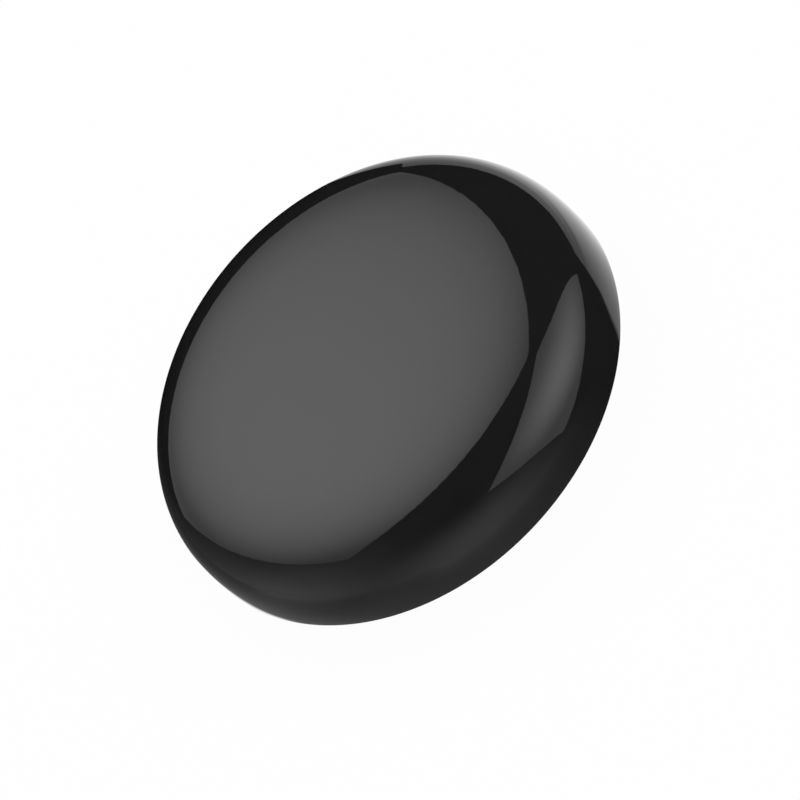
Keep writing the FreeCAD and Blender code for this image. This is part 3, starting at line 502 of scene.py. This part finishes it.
def add_glowing(name, corners, faces, hidden_from, light_of):
    """A piece of the stage that gives light. light_of builds the strength in the piece's node tree."""
    piece = mesh_object(name, corners, faces)
    material, graph = new_material(name)
    light = graph.add("ShaderNodeEmission", strength=light_of(graph))
    graph.add("ShaderNodeOutputMaterial", surface=light.outputs[0])
    piece.data.materials.append(material)
    for ray in hidden_from:
        setattr(piece, "visible_" + ray, False)


def add_softbox(name, corners, middle, peak, edge, reach):
    """A panel whose light is strongest at its middle and falls off softly to its edges."""
    def light(graph):
        return graph.smooth(graph.distance(middle), 0.0, reach, peak, edge)

    add_glowing(name, corners, [(0, 1, 2, 3)], LIGHT_HIDDEN_FROM, light)


def glow_by_azimuth(graph, azimuth):
    """The dim glow in front: two soft bright places in a wide grey one."""
    bright = GLOW_LEVEL
    for middle, extra in GLOW_SPOTS:
        away = graph.math("ABSOLUTE", graph.math("SUBTRACT", azimuth, middle))
        bright = graph.math("ADD", bright, graph.smooth(away, *GLOW_SPOT_FADE, extra, 0.0))
    return graph.product(graph.window(azimuth, *GLOW_WINDOW), bright)


def surround_light(graph):
    azimuth = graph.azimuth()
    height = graph.math("DIVIDE", graph.axes()["Z"], SURROUND_RADIUS)
    elevation = graph.product(graph.math("ARCSINE", height), math.degrees(1))
    fall = graph.smooth(elevation, 0, graph.smooth(azimuth, *GLOW_TOP), 1.0, 0.0)
    return graph.product(glow_by_azimuth(graph, azimuth), fall)


def add_surround():
    """A dark dome all round, seen only in reflections: painted dark reflections, with the painted dim glow
    low in front.
    """
    quarter = [math.radians(90 * step / SURROUND_STEPS) for step in range(SURROUND_STEPS + 1)]
    outline = [(SURROUND_RADIUS * math.sin(a), SURROUND_RADIUS * math.cos(a)) for a in quarter]
    corners, faces = turned_shape(outline, SURROUND_STEPS_AROUND)
    add_glowing("dark_reflection_dome", corners, faces, REFLECTION_HIDDEN_FROM, surround_light)


def floor_reflection_glow(graph, azimuth, away):
    """The painted glow on the floor sheet, with painted shade that dims it from the object out to a distance
    that varies.
    """
    # Painted shade: the glow is dimmer near the object
    near_level = graph.ramps(azimuth, *NEAR_PAINTED_SHADE_LEVEL)
    near_start = graph.smooth(azimuth, *NEAR_PAINTED_SHADE_START)
    near_end = graph.ramps(azimuth, *NEAR_PAINTED_SHADE_END)
    by_distance = graph.smooth(away, near_start, near_end, near_level, 1.0)
    return graph.product(glow_by_azimuth(graph, azimuth), graph.smooth(azimuth, *FLOOR_GLOW_DIMMED), by_distance)


def ring_light(graph, azimuth, away):
    """The glowing part of a ring round the object's left side, weaker in one place: a painted reflection."""
    aside = graph.math("ABSOLUTE", graph.math("SUBTRACT", azimuth, RING_GAP_AZIMUTH))
    by_azimuth = graph.product(graph.window(azimuth, *RING_WINDOW), graph.smooth(aside, *RING_GAP))
    return graph.product(by_azimuth, graph.smooth(away, *RING_FADE))


def strip_light(graph, azimuth, away):
    """The glowing strip close beside the object's left side: a painted reflection."""
    past_edge = graph.math("SUBTRACT", away, graph.smooth(azimuth, *STRIP_EDGE))
    return graph.product(graph.smooth(past_edge, *STRIP_FADE), graph.window(azimuth, *STRIP_WINDOW))


def reflection_patch_light(graph, azimuth, away):
    """Painted reflection of a patch at the right: shaded across its border when near, and by azimuth when
    far.
    """
    axes = graph.axes()
    line = graph.math("SUBTRACT", axes["Y"], graph.math("MULTIPLY", axes["X"], REFLECTION_PATCH_SLOPE))
    past_border = graph.math("SUBTRACT", line, graph.smooth(axes["X"], *REFLECTION_PATCH_BORDER))
    at_right = graph.math("GREATER_THAN", azimuth, 0.0)
    inside = graph.product(graph.smooth(past_border, *REFLECTION_PATCH_BORDER_FADE), at_right)
    fade = graph.product(graph.smooth(azimuth, *REFLECTION_PATCH_FADE), graph.smooth(azimuth, *REFLECTION_PATCH_END))
    near = graph.smooth(line, *REFLECTION_PATCH_NEAR)
    far = graph.smooth(azimuth, *REFLECTION_PATCH_FAR)
    return graph.product(inside, fade, REFLECTION_PATCH_LIGHT, graph.smooth(away, *REFLECTION_PATCH_NEAR_TO_FAR, near, far))


def floor_reflection_sheet_light(graph):
    azimuth = graph.azimuth()
    away = graph.distance((0, 0, 0))
    light = floor_reflection_glow(graph, azimuth, away)
    for part in (ring_light, strip_light, reflection_patch_light):
        light = graph.math("ADD", light, part(graph, azimuth, away))
    return light


def add_floor_reflection_sheet():
    """A dark sheet on the floor, seen only in reflections: painted dark reflections, with the painted glow
    and glowing parts on it.
    """
    corners = square_corners(SURROUND_RADIUS, REFLECTION_SHEET_HEIGHT)
    add_glowing("floor_reflection_sheet", corners, [(0, 1, 2, 3)], REFLECTION_HIDDEN_FROM, floor_reflection_sheet_light)


def standing_reflection_glow_light(graph):
    azimuth = graph.azimuth()
    by_azimuth = graph.product(graph.smooth(azimuth, *STANDING_RISE), graph.smooth(azimuth, *STANDING_FALL))
    return graph.product(by_azimuth, graph.smooth(graph.axes()["Z"], *STANDING_TOP))


def add_standing_reflection_glow():
    """A glowing sheet that stands upright on the floor, seen only in reflections: a painted reflection."""
    sine, cosine = math.sin(STANDING_AZIMUTH), math.cos(STANDING_AZIMUTH)
    foot = Vector((sine, -cosine, 0)) * STANDING_DISTANCE
    across = Vector((cosine, sine, 0))
    corners = [foot + across * along + Vector((0, 0, up)) for along, up in STANDING_REFLECTION_GLOW]
    faces = [range(len(corners))]
    add_glowing("standing_reflection_glow", corners, faces, REFLECTION_HIDDEN_FROM, standing_reflection_glow_light)


def side_reflection_glow_light(graph):
    return SIDE_REFLECTION_GLOW_LIGHT


def add_side_reflection_glow():
    """A glowing sheet, seen only in reflections, that carries the side softbox's reflection on below its
    foot: a painted reflection.
    """
    corners = [(x, y, SIDE_REFLECTION_GLOW_HEIGHT) for x, y in SIDE_REFLECTION_GLOW]
    faces = [range(len(corners))]
    add_glowing("side_reflection_glow", corners, faces, REFLECTION_HIDDEN_FROM, side_reflection_glow_light)


# Materials
def grain(graph, size, detail=2.0, stretch=(1, 1, 1)):
    """Noise whose spots are about that many metres across, in the object's own coordinates."""
    place = graph.add("ShaderNodeTexCoord").outputs["Object"]
    place = graph.add("ShaderNodeMapping", vector=place, scale=stretch).outputs[0]
    return graph.add("ShaderNodeTexNoise", vector=place, scale=1 / size, detail=detail).outputs[0]


def blend(graph, factor, low, high, start=0.35, end=0.65):
    """One colour below start, another above end."""
    ramp = graph.add("ShaderNodeValToRGB", in_0=factor)
    for element, position, colour in zip(ramp.color_ramp.elements, (start, end), (low, high)):
        element.position = position
        element.color = (*colour, 1.0)
    return ramp.outputs[0]


def grey(level):
    return (level, level, level)


def shaded(colour, amount):
    return tuple(min(1.0, channel * amount) for channel in colour)


def bumped(graph, height, depth, strength=0.6, under=None):
    """A relief of that depth in metres, on another one where that is given."""
    node = graph.add("ShaderNodeBump", strength=strength, distance=depth, height=height)
    if under is not None:
        graph.put(node.inputs["Normal"], under)
    return node.outputs[0]


def finish_material(graph, material, shader):
    graph.add("ShaderNodeOutputMaterial", surface=shader.outputs[0])
    return material


def gloss_black(name):
    """Polished black plastic: its gloss varies a little, with faint hairline marks."""
    material, graph = new_material(name)
    body = blend(graph, grain(graph, 0.004), (0.0111, 0.0111, 0.0113), (0.0121, 0.0121, 0.0122))
    polish = graph.smooth(grain(graph, 0.0008, 3.0), 0.35, 0.75, 0.022, 0.036)
    hairs = graph.smooth(grain(graph, 0.0012, 1.0, (14, 0.5, 1)), 0.66, 0.74, 0.0, 0.012)
    shader = graph.add("ShaderNodeBsdfPrincipled", base_color=body, ior=1.5,
                       roughness=graph.math("ADD", polish, hairs))
    return finish_material(graph, material, shader)


def moulded(name, colour, rough, spot, depth, patch=0.006, spread=0.25):
    """Moulded plastic or rubber: a fine grain, slow patches of shade, and specks where the grain is worn."""
    material, graph = new_material(name)
    fine = grain(graph, spot, 3.0)
    broad = grain(graph, patch)
    low, high = shaded(colour, 1 - spread), shaded(colour, 1 + spread)
    body = blend(graph, graph.math("MULTIPLY_ADD", fine, 0.5, graph.math("MULTIPLY", broad, 0.5)), low, high)
    specks = graph.smooth(grain(graph, spot * 2.6, 1.0), 0.70, 0.76, 0.0, -0.10)
    gloss = graph.math("ADD", graph.smooth(fine, 0.3, 0.7, *rough), specks)
    shader = graph.add("ShaderNodeBsdfPrincipled", base_color=body, roughness=gloss,
                       normal=bumped(graph, fine, depth))
    return finish_material(graph, material, shader)


def metal(name, colour, rough, spot, stretch, depth=2e-6):
    """Plated or drawn metal: fine lines one way, dull patches, and a slight change of tone."""
    material, graph = new_material(name)
    lines = grain(graph, spot, 2.0, stretch)
    dull = grain(graph, 0.0015, 3.0)
    body = blend(graph, dull, shaded(colour, 0.86), shaded(colour, 1.06))
    gloss = graph.math("ADD", graph.smooth(lines, 0.3, 0.7, *rough), graph.smooth(dull, 0.5, 0.75, 0.0, 0.12))
    shader = graph.add("ShaderNodeBsdfPrincipled", base_color=body, metallic=1.0, roughness=gloss,
                       normal=bumped(graph, lines, depth, 0.4))
    return finish_material(graph, material, shader)


def resin(name, colour, rough, clear, ior):
    """Cast resin or clear moulding: faint flow lines inside, and a surface less polished in places."""
    material, graph = new_material(name)
    flow = grain(graph, 0.0009, 2.0, (1, 0.3, 1))
    body = blend(graph, flow, shaded(colour, 0.85), shaded(colour, 1.1))
    gloss = graph.smooth(grain(graph, 0.0004, 2.0), 0.35, 0.7, *rough)
    shader = graph.add("ShaderNodeBsdfPrincipled", base_color=body, roughness=gloss, ior=ior,
                       normal=bumped(graph, flow, 4e-6, 0.3), transmission_weight=clear)
    return finish_material(graph, material, shader)


def tracks(graph, pitch):
    """Raised parallel tracks, which run one way in some fields of a board and the other way in the rest."""
    place = graph.add("ShaderNodeTexCoord").outputs["Object"]
    fields = graph.add("ShaderNodeTexVoronoi", {"distance": "CHEBYCHEV"}, vector=place, scale=220.0)
    way = graph.add("ShaderNodeSeparateColor", in_0=fields.outputs["Color"])
    turned = graph.math("GREATER_THAN", way.outputs[0], 0.5)
    axes = graph.add("ShaderNodeSeparateXYZ", in_0=place)
    along = graph.math("MULTIPLY", axes.outputs["X"], turned)
    across = graph.math("MULTIPLY", axes.outputs["Y"], graph.math("SUBTRACT", 1.0, turned))
    wave = graph.math("SINE", graph.math("MULTIPLY", graph.math("ADD", along, across), math.tau / pitch))
    used = graph.math("GREATER_THAN", way.outputs[1], 0.45)
    return graph.math("MULTIPLY", graph.smooth(wave, 0.1, 0.35), used)


def circuit_board(name, colour):
    """Solder mask over copper: lighter where a track lies under it, on woven glass."""
    material, graph = new_material(name)
    relief = tracks(graph, 0.0008)
    weave = grain(graph, 0.00035, 1.0, (1, 3, 1))
    cloudy = graph.math("MULTIPLY_ADD", weave, 0.25, graph.math("MULTIPLY", relief, 0.6))
    body = blend(graph, cloudy, shaded(colour, 0.8), shaded(colour, 1.8), 0.1, 0.8)
    normal = bumped(graph, relief, 3.5e-5, 0.8, bumped(graph, weave, 6e-6, 0.4))
    shader = graph.add("ShaderNodeBsdfPrincipled", base_color=body, normal=normal,
                       roughness=graph.smooth(weave, 0.3, 0.7, 0.24, 0.38))
    return finish_material(graph, material, shader)


# A maker and its settings for each finish that the CAD names
FINISHES = {
    "cover": (gloss_black, {}),
    "base": (moulded, {"colour": grey(0.030), "rough": (0.48, 0.66), "spot": 0.00018, "depth": 2.5e-5}),
    "foot": (moulded, {"colour": grey(0.050), "rough": (0.72, 0.92), "spot": 0.00040, "depth": 3.5e-5,
                       "patch": 0.003, "spread": 0.35}),
    "label": (moulded, {"colour": grey(0.120), "rough": (0.38, 0.50), "spot": 0.00030, "depth": 4e-6,
                        "patch": 0.010, "spread": 0.10}),
    "black_moulding": (moulded, {"colour": grey(0.030), "rough": (0.45, 0.62), "spot": 0.00015,
                                 "depth": 1e-5}),
    "white_moulding": (moulded, {"colour": (0.80, 0.80, 0.78), "rough": (0.40, 0.55), "spot": 0.00020,
                                 "depth": 8e-6, "spread": 0.05}),
    "button": (moulded, {"colour": grey(0.030), "rough": (0.26, 0.38), "spot": 0.00016, "depth": 5e-6,
                         "patch": 0.0015}),
    "ceramic": (moulded, {"colour": (0.45, 0.33, 0.20), "rough": (0.45, 0.60), "spot": 0.00012, "depth": 6e-6,
                          "patch": 0.0008}),
    "resistor_film": (moulded, {"colour": grey(0.040), "rough": (0.30, 0.45), "spot": 0.00012, "depth": 5e-6,
                                "patch": 0.0008}),
    "screws": (metal, {"colour": grey(0.050), "rough": (0.28, 0.42), "spot": 0.00020, "stretch": (1, 1, 4)}),
    "plated_steel": (metal, {"colour": (0.70, 0.70, 0.69), "rough": (0.20, 0.32), "spot": 0.00016,
                             "stretch": (10, 1, 10)}),
    "gold_contacts": (metal, {"colour": (0.85, 0.65, 0.30), "rough": (0.16, 0.28), "spot": 0.00010,
                              "stretch": (12, 1, 12)}),
    "solder": (metal, {"colour": (0.66, 0.66, 0.64), "rough": (0.26, 0.44), "spot": 0.00012,
                       "stretch": (1, 1, 1), "depth": 8e-6}),
    "can": (metal, {"colour": grey(0.80), "rough": (0.20, 0.34), "spot": 0.00014, "stretch": (1, 1, 12)}),
    "board": (circuit_board, {"colour": (0.020, 0.120, 0.050)}),
    "module_board": (circuit_board, {"colour": (0.010, 0.020, 0.060)}),
    "clear_plastic": (resin, {"colour": (0.90, 0.92, 0.92), "rough": (0.06, 0.12), "clear": 0.9,
                              "ior": 1.49}),
    "emitter_resin": (resin, {"colour": (0.12, 0.13, 0.20), "rough": (0.05, 0.12), "clear": 0.6,
                              "ior": 1.52}),
    "receiver_resin": (resin, {"colour": (0.030, 0.030, 0.035), "rough": (0.10, 0.18), "clear": 0.0,
                               "ior": 1.52}),
}


def dress(materials):
    """Gives each CAD node the material made for its finish."""
    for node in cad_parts.values():
        for place in node.material_slots:
            place.material = materials[place.material.name]


add_camera()
add_world()
add_floor()
add_softbox("main_softbox", **MAIN_SOFTBOX)
add_softbox("side_softbox", **SIDE_SOFTBOX)
# The dome and the sheets added next are seen only in reflections: painted reflections and painted shade
add_surround()
add_floor_reflection_sheet()
add_standing_reflection_glow()
add_side_reflection_glow()
looks = {name: make(name, **settings) for name, (make, settings) in FINISHES.items()}
dress(looks)
add_cover(looks["cover"])

bpy.context.scene.view_settings.view_transform = "Standard"
